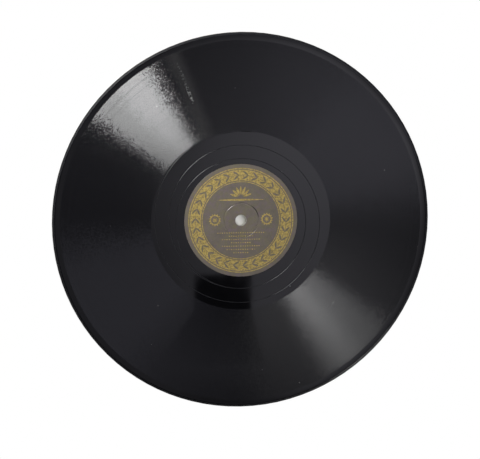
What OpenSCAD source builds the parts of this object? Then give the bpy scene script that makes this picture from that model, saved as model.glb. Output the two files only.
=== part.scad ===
// Ten-inch shellac record with a paper label pressed into each face, lying on side B.
// Millimetres. The origin is the centre of the spindle hole on the resting face, +Z points out of side A.

/* [Disc] */
// Overall diameter
disc_d = 254; // [244:0.5:305]
// Thickness between the two faces
disc_t = 2.2; // [1.8:0.1:3]
// Radius of the rounding that runs from each face to the rim
rim_r = 3; // [2:0.1:5]
// Height of the ground land left round the middle of the rim
rim_land = 0.2; // [0.1:0.1:1.2]

/* [Spindle hole] */
// Diameter of the hole for the turntable spindle
hole_d = 7.26; // [6.8:0.02:8]

/* [Labels] */
// Diameter of the paper label
label_d = 76.2; // [70:0.2:80]
// Thickness of the label paper
label_t = 0.12; // [0.08:0.01:0.2]
// Gap between the label and the floor of its seat
label_bed = 0.02; // [0.01:0.01:0.05]
// Gap between the label's edge and the wall of its seat
label_gap = 0.05; // [0.02:0.01:0.2]
// Gap by which the label's hole clears the spindle hole
label_hole_gap = 0.3; // [0.1:0.05:1]

/* [Pressing ring] */
// Diameter of the ring that the press leaves in the label and its seat
ring_d = 23.2; // [18:0.2:40]
// Width of the ring at the label's surface
ring_w = 0.9; // [0.6:0.1:2]
// Depth of the ring
ring_depth = 0.1; // [0.05:0.01:0.2]

/* [Recorded groove] */
// Plain margin between the rim and the first turn
margin_w = 5.3; // [4:0.1:7]
// Width of the recorded band
band_w = 61.2; // [40:0.2:62]
// Turns drawn in the band; a real side has about 231, too fine to draw one by one
drawn_turns = 25; // [8:1:28]
// Width of the groove at the face
groove_w = 0.16; // [0.12:0.01:0.3]
// Depth of the groove
groove_depth = 0.065; // [0.04:0.005:0.1]

/* [Lead-out and stop groove] */
// Half turns from the end of the recording to the stop groove, an odd number
lead_out_half_turns = 3; // [3:2:5]
// Least distance between the label's edge and the stop groove
stop_clear = 3.6; // [2:0.1:5]
// Distance of the stop groove's centre from the spindle axis
stop_offset = 2.2; // [1:0.1:3]

/* [Hidden] */

shellac_colour = "#17171a";
paper_colour = "#6b605c";

disc_r = disc_d / 2;
hole_r = hole_d / 2;
label_r = label_d / 2;
label_hole_r = hole_r + label_hole_gap;
seat_r = label_r + label_gap;
seat_depth = label_t + label_bed;
ring_r = ring_d / 2;

// Radius at which the flat faces end and the rim's rounding starts
flat_r = disc_r - sqrt(pow(rim_r, 2) - pow(rim_r - (disc_t - rim_land) / 2, 2));

// The pitches are whole steps of the cutting lathe's feed, so that the half turns meet exactly
feed_step = 0.004;

// The recorded groove runs inwards from the first radius to the second
band_start_r = disc_r - margin_w;
band_pitch = feed_step * round(band_w / drawn_turns / feed_step);
band_end_r = band_start_r - drawn_turns * band_pitch;

// The lead-out meets the stop groove where that lies farthest from the spindle axis
stop_r = label_r + stop_clear + stop_offset;
stop_far_r = stop_r + stop_offset;
lead_out_pitch = feed_step * round(2 * (band_end_r - stop_far_r) / lead_out_half_turns / feed_step);

$fn = 180;

// Surface line of a label or its seat, from one radius to another, with the pressing ring's dip
function pressed_line(r_from, r_to, z, dip) = [
    [r_from, z],
    [ring_r - ring_w / 2, z],
    [ring_r - ring_w / 4, z + dip],
    [ring_r + ring_w / 4, z + dip],
    [ring_r + ring_w / 2, z],
    [r_to, z]
];

function reversed(list) = [for (i = [len(list) - 1 : -1 : 0]) list[i]];

// Half section of the disc, from the hole past both label seats to flat_r, and then of the rim,
// where an arc from each face runs into the land
module disc_section() {
    polygon(concat(
        pressed_line(hole_r, seat_r, seat_depth, ring_depth),
        [[seat_r, 0], [flat_r, 0], [flat_r, disc_t], [seat_r, disc_t]],
        reversed(pressed_line(hole_r, seat_r, disc_t - seat_depth, -ring_depth))
    ));
    intersection() {
        translate([flat_r, disc_t - rim_r]) circle(rim_r);
        translate([flat_r, rim_r]) circle(rim_r);
        translate([flat_r, 0]) square([disc_r - flat_r, disc_t]);
    }
}

// V section of the groove in the face at z = 0, carried on as far above the face as it lies below
module groove_section(r)
    polygon([[r, -groove_depth], [r + groove_w, groove_depth], [r - groove_w, groove_depth]]);

// Groove that winds inwards from +Y, anticlockwise from above: its even half turns are arcs about
// one centre and its odd ones about another, a quarter of the pitch to either side of the axis
module spiral(r_start, pitch, half_turns) {
    for (side = [1, -1])
        translate([0, side * pitch / 4, 0])
            rotate_extrude(angle = 180, start = 90 * (2 - side))
                for (k = [(1 - side) / 2 : 2 : half_turns - 1])
                    groove_section(r_start - pitch / 4 - k * pitch / 2);
}

// The one groove of a side: recording, lead-out and the closed stop groove off the disc's centre
module side_groove() {
    spiral(band_start_r, band_pitch, 2 * drawn_turns);
    spiral(band_end_r, lead_out_pitch, lead_out_half_turns);
    translate([0, -stop_offset, 0]) rotate_extrude() groove_section(stop_r);
}

// Paper label whose outer face lies at z = 0
module label()
    rotate_extrude()
        polygon(concat(
            pressed_line(label_hole_r, label_r, -label_t, -ring_depth),
            reversed(pressed_line(label_hole_r, label_r, 0, -ring_depth))
        ));

// Disc of shellac compound, pressed in one piece with both grooves and both label seats
module record_disc()
    color(shellac_colour)
        difference() {
            rotate_extrude() disc_section();
            translate([0, 0, disc_t]) side_groove();
            rotate([180, 0, 0]) side_groove();
        }

module label_side_a()
    color(paper_colour) translate([0, 0, disc_t]) label();

module label_side_b()
    color(paper_colour) rotate([180, 0, 0]) label();

record_disc();
label_side_a();
label_side_b();
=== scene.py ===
from math import acos, cos, hypot, pi, radians, sin, sqrt, tan

import bmesh
import bpy
from mathutils import Matrix, Vector
from mathutils.geometry import delaunay_2d_cdt


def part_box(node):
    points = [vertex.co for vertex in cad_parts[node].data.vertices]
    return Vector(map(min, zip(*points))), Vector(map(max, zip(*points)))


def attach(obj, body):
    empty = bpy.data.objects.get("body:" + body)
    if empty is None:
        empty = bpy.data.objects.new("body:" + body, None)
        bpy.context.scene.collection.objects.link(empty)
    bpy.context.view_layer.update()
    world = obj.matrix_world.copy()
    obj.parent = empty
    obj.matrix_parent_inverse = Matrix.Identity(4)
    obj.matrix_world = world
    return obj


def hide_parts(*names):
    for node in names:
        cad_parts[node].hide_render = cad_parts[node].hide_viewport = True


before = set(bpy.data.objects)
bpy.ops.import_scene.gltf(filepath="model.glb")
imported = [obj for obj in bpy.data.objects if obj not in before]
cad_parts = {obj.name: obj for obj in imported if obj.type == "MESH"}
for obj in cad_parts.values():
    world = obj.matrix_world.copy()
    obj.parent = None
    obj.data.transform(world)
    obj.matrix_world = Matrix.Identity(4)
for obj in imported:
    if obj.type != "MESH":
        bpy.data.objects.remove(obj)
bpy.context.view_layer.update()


# Pressed disc
# The record is one disc of shellac compound: resin, slate dust and lamp black, pressed hot between
# two stampers. They leave the groove and a shallow seat for the label in each face, and the rim is
# ground afterwards. The spindle hole is moulded round a pin in the press.
MM = 0.001
disc_low, disc_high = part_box("record_disc")
disc_r = min(disc_high.x, disc_high.y, -disc_low.x, -disc_low.y) / MM
disc_t = disc_high.z / MM
steps = 96

hole_r = 3.63
worn_w = 0.35
label_r = 38.1
label_gap = 0.05
seat_r = label_r + label_gap
seat_depth = 0.14
lip_w, lip_foot_w, lip_foot_depth = 0.08, 0.02, 0.03

# The pressed ring is drawn 0.04 mm deeper than the solid's, so that it catches the light
press_ring_r, press_ring_w, press_ring_depth = 11.6, 0.9, 0.14

rim_r, rim_land = 3.0, 0.2
rim_steps, ground_steps = 9, 6
rim_angle = acos(1 - (disc_t - rim_land) / 2 / rim_r)
flat_r = disc_r - rim_r * sin(rim_angle)

turns = 231
band_start_r, band_end_r = 121.7, 60.5
pitch = (band_start_r - band_end_r) / turns
border_w = 2 * pitch
groove_depth = 0.065
fade_turns = 0.25

# The lead-out and stop groove are drawn wider than the real 0.16 mm, so that they show as lines
stop_clear, stop_offset = 3.6, 2.2
stop_r = label_r + stop_clear + stop_offset
lead_out_half_turns = 3
lead_out_pitch = 2 * (band_end_r - stop_r - stop_offset) / lead_out_half_turns
lead_out_w, lead_out_depth = 0.42, 0.146

# The disc's finishes, in the order of its materials
POLISHED, GROOVED, GROUND, DUSTY, WORN = range(5)


def angle_of(step):
    return pi / 2 + 2 * pi * step / steps


# Centre, radius and half of the disc (-1 left, 1 right, 0 both) of each arc in the lead-out and
# stop groove
run_out_arcs = [(0, -stop_offset, stop_r, 0)]
for k in range(lead_out_half_turns):
    half = -1 if k % 2 == 0 else 1
    arc_r = band_end_r - (2 * k + 1) * lead_out_pitch / 4
    run_out_arcs.append((0, -half * lead_out_pitch / 4, arc_r, half))

# Distances in millimetres within which a point is on the middle line, and two points are one
touch, weld = 1e-6, 1e-5


def run_out_depth(x, y):
    near = lead_out_w / 2
    for cx, cy, r, half in run_out_arcs:
        if x * half >= -touch:
            near = min(near, abs(hypot(x - cx, y - cy) - r))
    return lead_out_depth * (1 - near / (lead_out_w / 2))


def press_dip(r):
    return press_ring_depth * min(1, max(0, 2 - abs(r - press_ring_r) / (press_ring_w / 4)))


class PressedFace:
    """One face of the disc with z = 0 at its playing surface, from the spindle hole to the rim's land."""

    def __init__(self):
        self.points = []
        self.faces = []
        self.finishes = []

    def point(self, r, angle, z):
        self.points.append((r * cos(angle), r * sin(angle), z))
        return len(self.points) - 1

    def ring(self, r, z):
        return [self.point(r, angle_of(j), z) for j in range(steps)]

    def face(self, corners, finish):
        self.faces.append(corners)
        self.finishes.append(finish)

    def skins(self, rings, finish):
        for outer, inner in zip(rings, rings[1:]):
            for j in range(steps):
                n = (j + 1) % steps
                self.face((outer[j], outer[n], inner[n], inner[j]), finish)

    # The ridge between two turns is one spiral and the bottom of the groove another, half a turn's
    # width farther in. The bottom rises to the face at both ends
    def recorded_band(self, outer, inner):
        last = turns * steps
        fade = fade_turns * steps
        ridge, valley = [], []
        for i in range(last + steps + 1):
            ridge.append(self.point(band_start_r + pitch * (0.5 - i / steps), angle_of(i), 0))
        for i in range(last + 1):
            depth = groove_depth * min(1, i / fade, (last - i) / fade)
            valley.append(self.point(band_start_r - pitch * i / steps, angle_of(i), -depth))
        for i in range(last):
            self.face((ridge[i], ridge[i + 1], valley[i + 1], valley[i]), GROOVED)
            self.face((valley[i], valley[i + 1], ridge[i + steps + 1], ridge[i + steps]), GROOVED)
        for j in range(steps - 1):
            self.face((outer[j], outer[j + 1], ridge[j + 1], ridge[j]), POLISHED)
            k = last + j + 1
            self.face((ridge[k], ridge[k + 1], inner[(j + 2) % steps], inner[j + 1]), POLISHED)
        start = (outer[-1], outer[0], ridge[0], valley[0], ridge[steps], ridge[steps - 1])
        end = (ridge[last], ridge[last + 1], inner[1], inner[0], ridge[last + steps], valley[last])
        self.face(start, POLISHED)
        self.face(end, POLISHED)

    # The plain wax between two rings, cut by the lead-out and the stop groove
    def run_out(self, outer, inner):
        flat = [Vector(self.points[i][:2]) for i in outer + inner]
        edges = [(j, (j + 1) % steps) for j in range(steps)]
        edges += [(steps + a, steps + b) for a, b in edges]
        for cx, cy, r, half in run_out_arcs:
            count = steps if half == 0 else steps // 2
            start = -pi / 2 if half == 1 else pi / 2
            for across in (-lead_out_w / 2, 0, lead_out_w / 2):
                first = len(flat)
                for i in range(count + 1):
                    a = start + 2 * pi * i / steps
                    flat.append(Vector((cx + (r + across) * cos(a), cy + (r + across) * sin(a))))
                edges += [(i, i + 1) for i in range(first, first + count)]
        # The groove tapers out at this point, one step ahead of the lead-out's start
        tip_angle = angle_of(-1)
        flat.append(Vector((band_end_r * cos(tip_angle), band_end_r * sin(tip_angle))))
        spots, _, triangles, sources, _, _ = delaunay_2d_cdt(flat, edges, [], 0, weld)
        known = outer + inner
        index = []
        for spot, source in zip(spots, sources):
            old = [s for s in source if s < len(known)]
            if old:
                index.append(known[old[0]])
            else:
                self.points.append((spot.x, spot.y, -run_out_depth(spot.x, spot.y)))
                index.append(len(self.points) - 1)
        inner_edge = hypot(*self.points[inner[0]][:2]) * cos(pi / steps)
        for triangle in triangles:
            centre = sum((spots[i] for i in triangle), Vector((0, 0))) / 3
            if centre.length > inner_edge:
                finish = DUSTY if run_out_depth(*centre) > 0 else POLISHED
                self.face(tuple(index[i] for i in triangle), finish)


side = PressedFace()
rim_rings = []
for k in range(rim_steps, -1, -1):
    a = rim_angle * k / rim_steps
    rim_rings.append(side.ring(flat_r + rim_r * sin(a), -rim_r * (1 - cos(a))))
band_edge = side.ring(band_start_r + border_w, 0)
side.skins(rim_rings[:ground_steps + 1], GROUND)
side.skins(rim_rings[ground_steps:] + [band_edge], POLISHED)
wax_edge = side.ring(band_end_r - border_w, 0)
side.recorded_band(band_edge, wax_edge)
seat_edge = side.ring(seat_r + lip_w, 0)
side.run_out(wax_edge, seat_edge)
lip_foot = side.ring(seat_r + lip_foot_w, -lip_foot_depth)
seat_rings = [seat_edge, lip_foot, side.ring(seat_r, -seat_depth)]
for across in (0.5, 0.25, -0.25, -0.5):
    r = press_ring_r + across * press_ring_w
    seat_rings.append(side.ring(r, -seat_depth - press_dip(r)))
worn_edge = side.ring(hole_r + worn_w, -seat_depth)
bore_edge = side.ring(hole_r, -seat_depth)
side.skins(seat_rings + [worn_edge], POLISHED)
side.skins([worn_edge, bore_edge], WORN)

# Side B is the same face turned over about the X axis. The rim's land and the bore join the two
count = len(side.points)
points = [(x * MM, y * MM, (z + disc_t) * MM) for x, y, z in side.points]
points += [(x * MM, -y * MM, -z * MM) for x, y, z in side.points]
faces = side.faces + [tuple(i + count for i in reversed(f)) for f in side.faces]
finishes = side.finishes * 2
for ring, finish in ((rim_rings[0], GROUND), (bore_edge, WORN)):
    for j in range(steps):
        below = [count + ring[(steps // 2 - k) % steps] for k in (j, j + 1)]
        faces.append((ring[j], ring[(j + 1) % steps], below[1], below[0]))
        finishes.append(finish)


def piece_from(name, points, faces, finishes, materials, crease):
    mesh = bpy.data.meshes.new(name)
    mesh.from_pydata(points, [], faces)
    mesh.polygons.foreach_set("material_index", finishes)
    shell = bmesh.new()
    shell.from_mesh(mesh)
    bmesh.ops.recalc_face_normals(shell, faces=shell.faces)
    shell.to_mesh(mesh)
    shell.free()
    mesh.polygons.foreach_set("use_smooth", [True] * len(mesh.polygons))
    mesh.set_sharp_from_angle(angle=radians(crease))
    for material in materials:
        mesh.materials.append(material)
    piece = bpy.data.objects.new(name, mesh)
    bpy.context.scene.collection.objects.link(piece)
    return piece


def srgb(code):
    parts = [int(code[i:i + 2], 16) / 255 for i in (1, 3, 5)]
    return [c / 12.92 if c <= 0.04045 else ((c + 0.055) / 1.055) ** 2.4 for c in parts] + [1]


# Inputs are keyed by name, or by number: a Mix node blends 6 into 7 by 0, and a MapRange node takes
# its reading 0 from the range 1 to 2 to the range 3 to 4
def node(tree, kind, inputs=(), **settings):
    made = tree.nodes.new("ShaderNode" + kind)
    for name, value in settings.items():
        setattr(made, name, value)
    for key, value in dict(inputs).items():
        if isinstance(value, bpy.types.NodeSocket):
            tree.links.new(value, made.inputs[key])
        else:
            made.inputs[key].default_value = value
    return made


def new_material(name):
    material = bpy.data.materials.new(name)
    material.use_nodes = True
    material.node_tree.nodes.clear()
    return material, material.node_tree


# Specks of dust, a little larger than real ones so that they show: at most one in each square of the
# given spacing, with its core and its soft edge as radii in millimetres
dust_grey = srgb("#8f8f8c")


def dusted(tree, place, tone, spacing, core_r, edge_r):
    cell = node(tree, "TexVoronoi", {"Vector": place, "Scale": 1 / (spacing * MM)}).outputs
    fade = {0: cell["Distance"], 1: core_r / spacing, 2: edge_r / spacing, 3: 1, 4: 0}
    speck = node(tree, "MapRange", fade).outputs[0]
    picked = node(tree, "Math", {0: cell["Color"], 1: 0.55}, operation="GREATER_THAN").outputs[0]
    speck = node(tree, "Math", {0: speck, 1: picked}, operation="MULTIPLY").outputs[0]
    return node(tree, "Mix", {0: speck, 6: tone, 7: dust_grey}, data_type="RGBA").outputs[2]


# Polished shellac: black and glassy where the stamper was smooth, with dust and fine handling marks
polished_shellac, tree = new_material("polished_shellac")
place = node(tree, "TexCoord").outputs["Object"]
haze = node(tree, "TexNoise", {"Vector": place, "Scale": 1 / (12 * MM), "Detail": 4}).outputs["Fac"]
gloss = node(tree, "MapRange", {0: haze, 1: 0.3, 2: 0.7, 3: 0.06, 4: 0.11}).outputs[0]
tone = node(tree, "Mix", {0: haze, 6: srgb("#050506"), 7: srgb("#0b0b0d")}, data_type="RGBA").outputs[2]
tone = dusted(tree, place, tone, 7, 0.175, 0.28)
ripple = node(tree, "TexNoise", {"Vector": place, "Scale": 1 / (1.5 * MM), "Detail": 2}).outputs["Fac"]
dimple = node(tree, "Bump", {"Strength": 0.1, "Distance": 0.02 * MM, "Height": ripple}).outputs[0]
shine = node(tree, "BsdfPrincipled", {"Base Color": tone, "Roughness": gloss, "IOR": 1.55, "Normal": dimple})
node(tree, "OutputMaterial", {"Surface": shine.outputs[0]})

# Grooved shellac: the same compound cut by the groove, so that it gleams across the turns in a fan
# with ragged sides, because the recorded waver tilts the walls a little along the turns. The real
# waver is finer than the picture can show, so it is drawn 0.77 mm long
grooved_shellac, tree = new_material("grooved_shellac")
waver_l, waver_slope = 0.77, 0.125
place = node(tree, "TexCoord").outputs["Object"]
flat = node(tree, "VectorMath", {0: place, 1: (1, 1, 0)}, operation="MULTIPLY").outputs[0]
radius = node(tree, "VectorMath", {0: flat}, operation="LENGTH").outputs["Value"]
heading = node(tree, "VectorMath", {0: flat}, operation="NORMALIZE").outputs[0]
waver = node(tree, "TexNoise", {"Vector": place, "Scale": 1 / (waver_l * MM), "Detail": 0}).outputs["Fac"]
slope = node(tree, "MapRange", {0: waver, 1: 0, 2: 1, 3: -waver_slope, 4: waver_slope}).outputs[0]
lie = node(tree, "Tangent", direction_type="RADIAL", axis="Z").outputs[0]
lean = node(tree, "VectorMath", {0: lie, "Scale": slope}, operation="SCALE").outputs[0]
uneven = {"W": radius, "Scale": 1 / (1.6 * MM), "Detail": 3}
turn_noise = node(tree, "TexNoise", uneven, noise_dimensions="1D").outputs["Fac"]
tone = node(tree, "Mix", {0: turn_noise, 6: srgb("#050506"), 7: srgb("#0a0a0d")}, data_type="RGBA").outputs[2]
tone = dusted(tree, place, tone, 9, 0.18, 0.315)
upward = node(tree, "SeparateXYZ", {0: node(tree, "NewGeometry").outputs["Normal"]}).outputs["Z"]
upward = node(tree, "Math", {0: upward}, operation="SIGN").outputs[0]

# Side A has a scuff along one radius: a faint rubbed haze and a line of flecks, palest near its
# inner end. Each row is a reading, the range it is taken from and the strength at the range's ends
scuff_angle = radians(111.8)
scuff_line = (cos(scuff_angle), sin(scuff_angle), 0)
scuff_square = (-sin(scuff_angle), cos(scuff_angle), 0)
along = node(tree, "VectorMath", {0: place, 1: scuff_line}, operation="DOT_PRODUCT").outputs["Value"]
beside = node(tree, "VectorMath", {0: place, 1: scuff_square}, operation="DOT_PRODUCT").outputs["Value"]
beside = node(tree, "Math", {0: beside}, operation="ABSOLUTE").outputs[0]
flecks = node(tree, "TexNoise", {"Vector": place, "Scale": 1 / (0.9 * MM), "Detail": 2}).outputs["Fac"]
rubbed_haze = ((upward, 0, 1, 0, 0.05), (beside, 0, 7 * MM, 1, 0), (along, 0, 60 * MM, 0, 1))
scratch = (
    (upward, 0, 1, 0, 0.7), (flecks, 0.54, 0.64, 0, 1), (beside, 0.2 * MM, 1.3 * MM, 1, 0),
    (along, 85 * MM, 88 * MM, 0, 1), (along, 94 * MM, 101 * MM, 1, 0.2), (along, 112 * MM, 116 * MM, 1, 0),
)
for scuff in (rubbed_haze, scratch):
    mark = 1
    for reading, low, high, start, end in scuff:
        part = node(tree, "MapRange", {0: reading, 1: low, 2: high, 3: start, 4: end}).outputs[0]
        mark = node(tree, "Math", {0: mark, 1: part}, operation="MULTIPLY").outputs[0]
    tone = node(tree, "Mix", {0: mark, 6: tone, 7: dust_grey}, data_type="RGBA").outputs[2]

# A turn is narrower than a pixel, so each point shows both walls of the groove, half and half, under
# the gleam of the lands between the turns
gloss = node(tree, "MapRange", {0: turn_noise, 1: 0.62, 2: 0.66, 3: 0.16, 4: 0.2}).outputs[0]
land = node(tree, "CombineXYZ", {"Z": upward}).outputs[0]
lean = node(tree, "VectorMath", {0: land, 1: lean}, operation="ADD").outputs[0]
walls = []
for facing in (1, -1):
    wall_slope = facing * 2 * groove_depth / pitch
    wall = node(tree, "VectorMath", {0: heading, "Scale": wall_slope}, operation="SCALE").outputs[0]
    wall = node(tree, "VectorMath", {0: wall, 1: lean}, operation="ADD").outputs[0]
    wall = node(tree, "VectorMath", {0: wall}, operation="NORMALIZE").outputs[0]
    walls.append(node(tree, "BsdfPrincipled", {
        "Base Color": tone, "Roughness": gloss, "IOR": 1.55, "Normal": wall,
        "Anisotropic": 1, "Anisotropic Rotation": 0.25, "Tangent": lie,
        "Coat Weight": 0.35, "Coat Roughness": 0.08, "Coat IOR": 1.55, "Coat Normal": land,
    }).outputs[0])
both_walls = node(tree, "MixShader", {0: 0.5, 1: walls[0], 2: walls[1]})
node(tree, "OutputMaterial", {"Surface": both_walls.outputs[0]})

# Ground shellac: the rim's land and the curve next to it, dull and slightly grey from the abrasive
ground_shellac, tree = new_material("ground_shellac")
place = node(tree, "TexCoord").outputs["Object"]
grain = node(tree, "TexNoise", {"Vector": place, "Scale": 1 / (0.5 * MM), "Detail": 3}).outputs["Fac"]
tone = node(tree, "Mix", {0: grain, 6: srgb("#1a1a1c"), 7: srgb("#2a2a2c")}, data_type="RGBA").outputs[2]
dull = node(tree, "BsdfPrincipled", {"Base Color": tone, "Roughness": 0.5, "Specular IOR Level": 0.12})
node(tree, "OutputMaterial", {"Surface": dull.outputs[0]})

# Dusty shellac: the walls of the lead-out and stop groove, dulled by the dust that settles there
dusty_shellac, tree = new_material("dusty_shellac")
place = node(tree, "TexCoord").outputs["Object"]
dust = node(tree, "TexNoise", {"Vector": place, "Scale": 1 / (0.8 * MM), "Detail": 3}).outputs["Fac"]
tone = node(tree, "Mix", {0: dust, 6: srgb("#1b1b1d"), 7: srgb("#2b2b2c")}, data_type="RGBA").outputs[2]
dull = node(tree, "BsdfPrincipled", {"Base Color": tone, "Roughness": 0.3, "Specular IOR Level": 0.3})
node(tree, "OutputMaterial", {"Surface": dull.outputs[0]})

# Worn shellac: the bore and its edge, which turntable spindles have scraped to a pale grey
worn_shellac, tree = new_material("worn_shellac")
place = node(tree, "TexCoord").outputs["Object"]
scrape = node(tree, "TexNoise", {"Vector": place, "Scale": 1 / (0.6 * MM), "Detail": 3}).outputs["Fac"]
tone = node(tree, "Mix", {0: scrape, 6: srgb("#75736c"), 7: srgb("#b5b2a6")}, data_type="RGBA").outputs[2]
dull = node(tree, "BsdfPrincipled", {"Base Color": tone, "Roughness": 0.7})
node(tree, "OutputMaterial", {"Surface": dull.outputs[0]})

shellac = (polished_shellac, grooved_shellac, ground_shellac, dusty_shellac, worn_shellac)
disc_crease = 8
disc = piece_from("disc", points, faces, finishes, shellac, disc_crease)
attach(disc, "root")
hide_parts("record_disc")


# Paper labels
# A round of printed paper lies in a seat on each face. It goes into the press with the hot compound,
# which grips it, and the press leaves a ring in it round the hole. The print is bronze ink on a dark
# ground.
label_hole_gap = 0.3
label_hole_r = hole_r + label_hole_gap
label_t = 0.12
label_steps, leaf_steps = 192, 6
PAPER, INK, DARK_ARC = range(3)


def loop(r, count=label_steps, cx=0, cy=0):
    return [(cx + r * cos(2 * pi * i / count), cy + r * sin(2 * pi * i / count)) for i in range(count)]


def leaf(length, width, cx, cy, turn):
    along = [i / leaf_steps for i in range(-leaf_steps, leaf_steps + 1)]
    half = [(u, 1 - u ** 2) for u in along]
    outline = [(u * length / 2, -v * width / 2) for u, v in half]
    outline += [(u * length / 2, v * width / 2) for u, v in reversed(half[1:-1])]
    return [(cx + u * cos(turn) - v * sin(turn), cy + u * sin(turn) + v * cos(turn)) for u, v in outline]


def star(r_out, r_in, tips, cx, cy):
    corners = []
    for i in range(2 * tips):
        r = r_out if i % 2 == 0 else r_in
        corners.append((cx - r * sin(pi * i / tips), cy + r * cos(pi * i / tips)))
    return corners


# Each shape is printed over those before it. First come three rings, with the stem of a wreath left
# bare in the wide one
print_shapes = []
stem_r, stem_w = 30.6, 0.24
for r, colour in (
    (35.5, INK), (34.8, PAPER), (34.2, INK), (stem_r + stem_w / 2, PAPER), (stem_r - stem_w / 2, INK),
    (27.0, PAPER), (26.4, INK), (25.9, PAPER),
):
    print_shapes.append((loop(r), colour))

# Pairs of leaves and berries along the stem
leaf_pairs = 30
leaf_l, leaf_w, leaf_out, leaf_lean = 4.9, 1.25, 1.45, 0.62
berry_r, berry_steps, berry_out, berry_back = 0.36, 10, 2.75, 0.06
for k in range(leaf_pairs):
    a = 2 * pi * k / leaf_pairs
    behind = a - berry_back
    for away in (1, -1):
        r = stem_r + leaf_out * away
        turn = a + pi / 2 - leaf_lean * away
        print_shapes.append((leaf(leaf_l, leaf_w, r * cos(a), r * sin(a), turn), PAPER))
        r = stem_r + berry_out * away
        print_shapes.append((loop(berry_r, berry_steps, r * cos(behind), r * sin(behind)), PAPER))

# A fan of petals over a flourish, above the hole
petals, petal_l, petal_w, petal_r, petal_step = 7, 6.2, 1.5, 4.6, 0.42
petals_y, flourish_y, flourish_l, flourish_w = 15.6, 13.9, 33, 1.3
for k in range(petals):
    a = pi / 2 + petal_step * (k - (petals - 1) / 2)
    petal = leaf(petal_l, petal_w, petal_r * cos(a), petals_y + petal_r * sin(a), a)
    print_shapes.append((petal, INK))
print_shapes.append((leaf(flourish_l, flourish_w, 0, flourish_y, 0), INK))

# A rosette at each side of the hole. Its stars have an outer and an inner radius and their tips
rosette_x, rosette_y = 17.5, 0.5
outer_star, inner_star = (4.4, 3.3, 14), (2.2, 0.8, 8)
bare_r, bare_steps = 2.7, 24
for cx in (-rosette_x, rosette_x):
    print_shapes.append((star(*outer_star, cx, rosette_y), INK))
    print_shapes.append((loop(bare_r, bare_steps, cx, rosette_y), PAPER))
    print_shapes.append((star(*inner_star, cx, rosette_y), INK))

# Rows of small lozenges below the hole
row_counts = (21, 11, 17, 9, 17, 13, 7)
row_start, row_step = 8.4, 2.25
lozenge_step, half_w, half_h = 1.55, 0.6, 0.42
for row, count in enumerate(row_counts):
    y = -(row_start + row_step * row)
    for k in range(count):
        x = lozenge_step * (k - (count - 1) / 2)
        lozenge = [(x + half_w, y), (x, y + half_h), (x - half_w, y), (x, y - half_h)]
        print_shapes.append((lozenge, INK))

# On side A a thin near-black arc is painted along the pressed ring
dark_arc_r, dark_arc_w, dark_arc_steps = 11.9, 0.62, 12
dark_arc_start, dark_arc_span = 7, 50
dark_arc_in, dark_arc_out = [], []
for k in range(dark_arc_steps + 1):
    a = radians(dark_arc_start + dark_arc_span * k / dark_arc_steps)
    open_r = dark_arc_r + dark_arc_w * sqrt(sin(pi * k / dark_arc_steps))
    dark_arc_in.append((dark_arc_r * cos(a), dark_arc_r * sin(a)))
    dark_arc_out.append((open_r * cos(a), open_r * sin(a)))
dark_arc = (dark_arc_out + dark_arc_in[-2:0:-1], DARK_ARC)


# A label with its outer face at z = 0: the shapes are joined into one flat mesh, which follows the
# pressed ring and gets the paper's thickness
def label_mesh(print_shapes):
    outline = [loop(label_r), loop(label_hole_r)]
    for across in (-0.5, -0.25, 0.25, 0.5):
        outline.append(loop(press_ring_r + across * press_ring_w))
    shapes = outline + [s for s, _ in print_shapes]
    colours = [PAPER] * len(outline) + [c for _, c in print_shapes]
    flat, rounds = [], []
    for shape in shapes:
        rounds.append(list(range(len(flat), len(flat) + len(shape))))
        flat += [Vector(p) for p in shape]
    spots, _, triangles, _, _, sources = delaunay_2d_cdt(flat, [], rounds, 1, weld)
    points = [(p.x, p.y, -press_dip(p.length)) for p in spots]
    faces, finishes = [], []
    for triangle, source in zip(triangles, sources):
        centre = sum((spots[i] for i in triangle), Vector((0, 0))) / len(triangle)
        if centre.length > label_hole_r * cos(pi / label_steps):
            faces.append(tuple(triangle))
            finishes.append(colours[max(source)])
    top = len(points)
    points += [(x, y, z - label_t) for x, y, z in points]
    edges = {}
    for f in faces:
        for a, b in zip(f, f[1:] + f[:1]):
            edges[frozenset((a, b))] = None if frozenset((a, b)) in edges else (a, b)
    faces += [tuple(i + top for i in reversed(f)) for f in faces]
    finishes += [PAPER] * len(finishes)
    for a, b in filter(None, edges.values()):
        faces.append((b, a, a + top, b + top))
        finishes.append(PAPER)
    return [(x * MM, y * MM, z * MM) for x, y, z in points], faces, finishes


# Label paper: dark uncoated stock, rubbed paler and stained in patches, with a fine fibre. The press
# has burnished it in the ring
label_paper, tree = new_material("label_paper")
place = node(tree, "TexCoord").outputs["Object"]
rubbed = node(tree, "TexNoise", {"Vector": place, "Scale": 1 / (5 * MM), "Detail": 6}).outputs["Fac"]
stained = node(tree, "TexNoise", {"Vector": place, "Scale": 1 / (3 * MM), "Detail": 3}).outputs["Color"]
stained = node(tree, "SeparateColor", {0: stained}).outputs
fibre = node(tree, "TexNoise", {"Vector": place, "Scale": 1 / (0.4 * MM), "Detail": 3}).outputs["Fac"]
tone = node(tree, "Mix", {0: rubbed, 6: srgb("#544d48"), 7: srgb("#787063")}, data_type="RGBA").outputs[2]
olive = node(tree, "MapRange", {0: stained["Red"], 1: 0.45, 2: 0.65, 3: 0, 4: 0.6}).outputs[0]
tone = node(tree, "Mix", {0: olive, 6: tone, 7: srgb("#6b664c")}, data_type="RGBA").outputs[2]
lilac = node(tree, "MapRange", {0: stained["Green"], 1: 0.5, 2: 0.68, 3: 0, 4: 0.6}).outputs[0]
tone = node(tree, "Mix", {0: lilac, 6: tone, 7: srgb("#6c5e66")}, data_type="RGBA").outputs[2]
tone = node(tree, "Mix", {0: 0.25, 6: tone, 7: fibre}, data_type="RGBA", blend_type="OVERLAY").outputs[2]
tooth = node(tree, "Bump", {"Strength": 0.3, "Distance": 0.03 * MM, "Height": fibre}).outputs[0]
rough = node(tree, "MapRange", {0: rubbed, 1: 0.3, 2: 0.7, 3: 0.55, 4: 0.75}).outputs[0]
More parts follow.
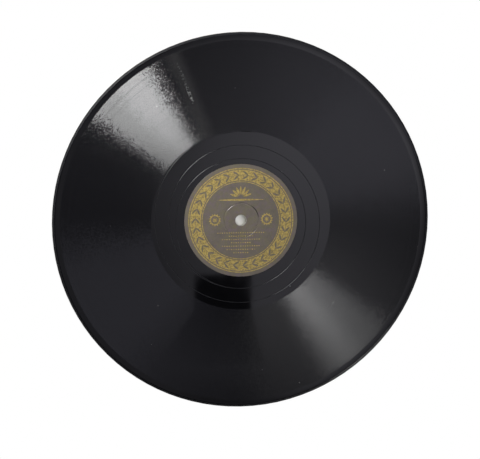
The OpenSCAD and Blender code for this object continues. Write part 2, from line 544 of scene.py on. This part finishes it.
flat = node(tree, "VectorMath", {0: place, 1: (1, 1, 0)}, operation="MULTIPLY").outputs[0]
radius = node(tree, "VectorMath", {0: flat}, operation="LENGTH").outputs["Value"]
near = node(tree, "Math", {0: radius, 1: press_ring_r * MM}, operation="SUBTRACT").outputs[0]
near = node(tree, "Math", {0: near}, operation="ABSOLUTE").outputs[0]
burnish = node(tree, "MapRange", {0: near, 1: 0.45 * MM, 2: 0.8 * MM, 3: 0.2, 4: 1}).outputs[0]
rough = node(tree, "Math", {0: rough, 1: burnish}, operation="MINIMUM").outputs[0]
sheet = node(tree, "BsdfPrincipled", {"Base Color": tone, "Roughness": rough, "Normal": tooth})
node(tree, "OutputMaterial", {"Surface": sheet.outputs[0]})

# Bronze ink: a thin dull gold print that has worn through to the paper in places
bronze_ink, tree = new_material("bronze_ink")
place = node(tree, "TexCoord").outputs["Object"]
rubbed = node(tree, "TexNoise", {"Vector": place, "Scale": 1 / (1.2 * MM), "Detail": 5}).outputs["Fac"]
worn = node(tree, "MapRange", {0: rubbed, 1: 0.35, 2: 0.6}).outputs[0]
tone = node(tree, "Mix", {0: worn, 6: srgb("#847446"), 7: srgb("#bba45c")}, data_type="RGBA").outputs[2]
film = node(tree, "BsdfPrincipled", {"Base Color": tone, "Roughness": 0.5, "Metallic": 0.15})
node(tree, "OutputMaterial", {"Surface": film.outputs[0]})

# Dark arc: a near-black, mottled band painted along the pressed ring on side A
ring_dark_arc, tree = new_material("ring_dark_arc")
place = node(tree, "TexCoord").outputs["Object"]
arc_mottle = node(tree, "TexNoise", {"Vector": place, "Scale": 1 / (0.5 * MM), "Detail": 2}).outputs["Fac"]
tone = node(tree, "Mix", {0: arc_mottle, 6: srgb("#0d0c0c"), 7: srgb("#241f1d")}, data_type="RGBA").outputs[2]
arc_surface = node(tree, "BsdfPrincipled", {"Base Color": tone, "Roughness": 0.7})
node(tree, "OutputMaterial", {"Surface": arc_surface.outputs[0]})

label_stock = (label_paper, bronze_ink, ring_dark_arc)
label_crease = 12
for name, replaced, shapes, stand in (
    ("label_a", "label_side_a", print_shapes + [dark_arc], Matrix.Translation((0, 0, disc_t * MM))),
    ("label_b", "label_side_b", print_shapes, Matrix.Diagonal((1, -1, -1, 1))),
):
    label = piece_from(name, *label_mesh(shapes), label_stock, label_crease)
    label.data.transform(stand)
    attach(label, "root")
    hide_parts(replaced)


# Studio
# The record lies on a white sheet, under a pale board that the smooth wax mirrors. Two panes of a
# window at the upper left and a pale wall at the lower right give the fans of light, and the camera
# looks down from far above. Sizes here are in metres, apart from those multiplied by MM.
def stage_sheet(name, corners, place, material):
    mesh = bpy.data.meshes.new(name)
    mesh.from_pydata([(x, y, 0) for x, y in corners], [], [range(len(corners))])
    mesh.materials.append(material)
    sheet = bpy.data.objects.new(name, mesh)
    sheet.location = place
    bpy.context.scene.collection.objects.link(sheet)
    return sheet


# White sheet: plain matt paper, which glows white to the camera and in reflections. In the spindle hole its
# colour and its glow are painted paler at the left and darker at the right, a painted half shade
white_sheet, tree = new_material("white_sheet")
shade_r, open_r = 4, 8
path = node(tree, "LightPath").outputs
seen = node(tree, "Math", {0: path["Is Camera Ray"], 1: path["Is Glossy Ray"]}, operation="ADD").outputs[0]
seen = {0: seen, 1: path["Is Transmission Ray"]}
seen = node(tree, "Math", seen, operation="ADD", use_clamp=True).outputs[0]
# Painted contact shade: where ambient occlusion finds the sheet hemmed in, next to the rim and in the hole,
# its glow gives way to the matt paper
open_air = node(tree, "AmbientOcclusion", {"Distance": 12 * MM}).outputs["AO"]
share = node(tree, "MapRange", {0: open_air, 1: 0.35, 2: 0.55, 3: 0, 4: 1}).outputs[0]
place = node(tree, "TexCoord").outputs["Object"]
across = node(tree, "SeparateXYZ", {0: place}).outputs["X"]
across = node(tree, "MapRange", {0: across, 1: -hole_r * MM, 2: hole_r * MM}).outputs[0]
from_hole = node(tree, "VectorMath", {0: place}, operation="LENGTH").outputs["Value"]
clear = node(tree, "MapRange", {0: from_hole, 1: shade_r * MM, 2: open_r * MM}).outputs[0]
# Painted shade in the hole: the glow runs from half strength at the left to almost none at the right
hole_painted_glow = node(tree, "MapRange", {0: across, 1: 0, 2: 1, 3: 0.5, 4: 0.08}).outputs[0]
hole_painted_glow = node(tree, "MapRange", {0: clear, 1: 0, 2: 1, 3: hole_painted_glow, 4: 1}).outputs[0]
share = node(tree, "Math", {0: share, 1: hole_painted_glow}, operation="MULTIPLY").outputs[0]
share = node(tree, "Math", {0: seen, 1: share}, operation="MULTIPLY").outputs[0]
# Painted shade in the hole: the paper's colour runs from pale at the left to dark at the right
tone = node(tree, "Mix", {0: across, 6: srgb("#efece0"), 7: srgb("#8b8a7e")}, data_type="RGBA").outputs[2]
tone = node(tree, "Mix", {0: clear, 6: tone, 7: srgb("#c9c6bb")}, data_type="RGBA").outputs[2]
matt = node(tree, "BsdfDiffuse", {"Color": tone}).outputs[0]
glow = node(tree, "Emission", {"Color": srgb("#ffffff"), "Strength": 1}).outputs[0]
paper = node(tree, "MixShader", {0: share, 1: matt, 2: glow})
node(tree, "OutputMaterial", {"Surface": paper.outputs[0]})

floor_half, floor_drop = 3.0, 0.05 * MM
floor_corners = [(x * floor_half, y * floor_half) for x, y in ((-1, -1), (1, -1), (1, 1), (-1, 1))]
floor = stage_sheet("floor", floor_corners, (0, 0, -floor_drop), white_sheet)

# The room round it: azimuth in degrees and strength, palest at the right, dim all round the rest
room_dim = 0.03
room_levels = (
    (-50, room_dim), (-40, 0.15), (-10, 0.1), (1, 0.82), (32, 0.88), (46, 0.44), (62, 0.33), (80, 0.19),
    (115, room_dim),
)
world = bpy.data.worlds.new("studio")
world.use_nodes = True
tree = world.node_tree
tree.nodes.clear()
level = node(tree, "SeparateXYZ", {0: node(tree, "TexCoord").outputs["Generated"]}).outputs
azimuth = node(tree, "Math", {0: level["Y"], 1: level["X"]}, operation="ARCTAN2").outputs[0]
azimuth = node(tree, "MapRange", {0: azimuth, 1: -pi, 2: pi}).outputs[0]
pale = node(tree, "ValToRGB", {0: azimuth})
stops = pale.color_ramp.elements
for degrees, strength in room_levels:
    stops.new(0.5 + degrees / 360).color = (strength, strength, strength, 1)
for end in (stops[0], stops[-1]):
    end.color = (room_dim, room_dim, room_dim, 1)
room = node(tree, "Background", {"Color": srgb("#e4e3f6"), "Strength": pale.outputs["Color"]})
node(tree, "OutputWorld", {"Surface": room.outputs[0]})
bpy.context.scene.world = world

# Pale board: overhead, palest to the upper right, as the smooth wax shows it. Each spot has its
# place and spread in millimetres and what it adds to the glow
board_half, board_place = 0.26, (0.077, -0.093, 0.6)
board_spots = (
    (48, 48, 165, 0.78), (75, -95, 100, 0.5), (-15, -85, 70, 0.3), (128, 52, 75, 0.45), (60, 130, 90, 0.3),
    (-10, -150, 70, -0.15),
)
pale_board, tree = new_material("pale_board")
place = node(tree, "TexCoord").outputs["Object"]
glow = 0.24
for x, y, spread, gain in board_spots:
    spot = (x * MM, y * MM, 0)
    away = node(tree, "VectorMath", {0: place, 1: spot}, operation="DISTANCE").outputs["Value"]
    fade = {0: away, 1: 0, 2: spread * MM, 3: gain, 4: 0}
    added = node(tree, "MapRange", fade, interpolation_type="SMOOTHSTEP").outputs[0]
    glow = node(tree, "Math", {0: glow, 1: added}, operation="ADD").outputs[0]
sky_white = srgb("#ebe9f5")
lit_board = node(tree, "Emission", {"Color": sky_white, "Strength": glow})
node(tree, "OutputMaterial", {"Surface": lit_board.outputs[0]})

board_corners = [(x * board_half, y * board_half) for x, y in ((-1, -1), (-1, 1), (1, 1), (1, -1))]
board = stage_sheet("board", board_corners, board_place, pale_board)
board.visible_camera = False

# Dark card: low over the near side, black at the end next to the label and paler away from it, which
# the wax shows below the label
card_place = (0.0154, -0.0186, 0.12)
card_top, card_bend, card_end = -37, -62, -100
card_outline = (
    (-32, card_top), (7, card_top), (7, card_bend), (16, card_end), (-60, card_end), (-33, card_bend),
)
dark_card, tree = new_material("dark_card")
along = node(tree, "SeparateXYZ", {0: node(tree, "TexCoord").outputs["Object"]}).outputs["Y"]
pale = node(tree, "MapRange", {0: along, 1: card_bend * MM, 2: card_end * MM, 3: 0.01, 4: 0.3}).outputs[0]
lit_card = node(tree, "Emission", {"Color": sky_white, "Strength": pale})
node(tree, "OutputMaterial", {"Surface": lit_card.outputs[0]})

card_corners = [(x * MM, y * MM) for x, y in card_outline]
card = stage_sheet("card", card_corners, card_place, dark_card)
card.visible_camera = False


# A lamp that faces the disc and spans the given azimuths, at a distance, a rise and a height
def lamp(name, azimuth_from, azimuth_to, reach, rise, height, glow):
    width = 2 * reach * tan(radians(azimuth_to - azimuth_from) / 2)
    light = bpy.data.lights.new(name, "AREA")
    light.shape = "RECTANGLE"
    light.size, light.size_y = width, height
    light.energy = pi * width * height * glow
    held = bpy.data.objects.new(name, light)
    a = radians((azimuth_from + azimuth_to) / 2)
    held.location = (reach * cos(a), reach * sin(a), rise)
    held.rotation_euler = (-held.location).to_track_quat("-Z", "Y").to_euler()
    bpy.context.scene.collection.objects.link(held)
    held.visible_camera = False


# Two panes of a window, the second dimmer
pane_reach, pane_rise, pane_h = 0.24, 0.14, 0.08
lamp("pane_1", 119.4, 134, pane_reach, pane_rise, pane_h, 25)
lamp("pane_2", 134, 146.5, pane_reach, pane_rise, pane_h, 16.6)

# A pale wall on the far side, in strips, brightest left of its middle and fading out at its ends
wall_reach, wall_rise, wall_h = 0.3, 0.15, 0.06
wall_edges = (268, 276, 281, 286, 292, 300.4, 303.2, 305.5, 308.5, 311.5, 313.5, 321.5, 330, 337, 345, 354)
wall_glows = (0.12, 0.4, 0.95, 1.2, 1.45, 6.3, 11.6, 12.8, 16.0, 9.4, 8.2, 1.1, 0.75, 0.4, 0.15)
for k, glow in enumerate(wall_glows):
    lamp("wall_%d" % (k + 1), wall_edges[k], wall_edges[k + 1], wall_reach, wall_rise, wall_h, glow)

# A soft lamp overhead lights the paper. It stays out of the reflections
fill_side, fill_rise, fill_glow = 1, 1.2, 4.65
fill = bpy.data.lights.new("fill", "AREA")
fill.size = fill_side
fill.energy = pi * fill_side ** 2 * fill_glow
held = bpy.data.objects.new("fill", fill)
held.location = (0, 0, fill_rise)
bpy.context.scene.collection.objects.link(held)
held.visible_camera = False
held.visible_glossy = False

# The picture is 480 by 459 pixels. The disc is 189.5 pixels in radius in it, and its centre lies 9.4
# above and 0.6 to the right of the middle
picture_w = 480
disc_pixels, disc_rise, disc_right = 189.5, 9.4, 0.6
view_azimuth, view_tilt, view_distance = radians(129.6), radians(11.4), 4.0
camera = bpy.data.cameras.new("camera")
camera.sensor_fit = "HORIZONTAL"
camera.clip_end = 5 * view_distance
pixel = disc_r * MM / disc_pixels
camera.lens = camera.sensor_width * view_distance / (picture_w * pixel)
lateral = sin(view_tilt)
back = Vector((lateral * cos(view_azimuth), lateral * sin(view_azimuth), cos(view_tilt)))
right = Vector((0, 1, 0)).cross(back).normalized()
above = back.cross(right)
turned = Matrix((right, above, back)).transposed().to_4x4()
aim = Vector((0, 0, disc_t / 2 * MM)) - (above * disc_rise + right * disc_right) * pixel
viewer = bpy.data.objects.new("camera", camera)
viewer.matrix_world = Matrix.Translation(aim + back * view_distance) @ turned
bpy.context.scene.collection.objects.link(viewer)
bpy.context.scene.camera = viewer

bpy.context.scene.view_settings.view_transform = "Standard"
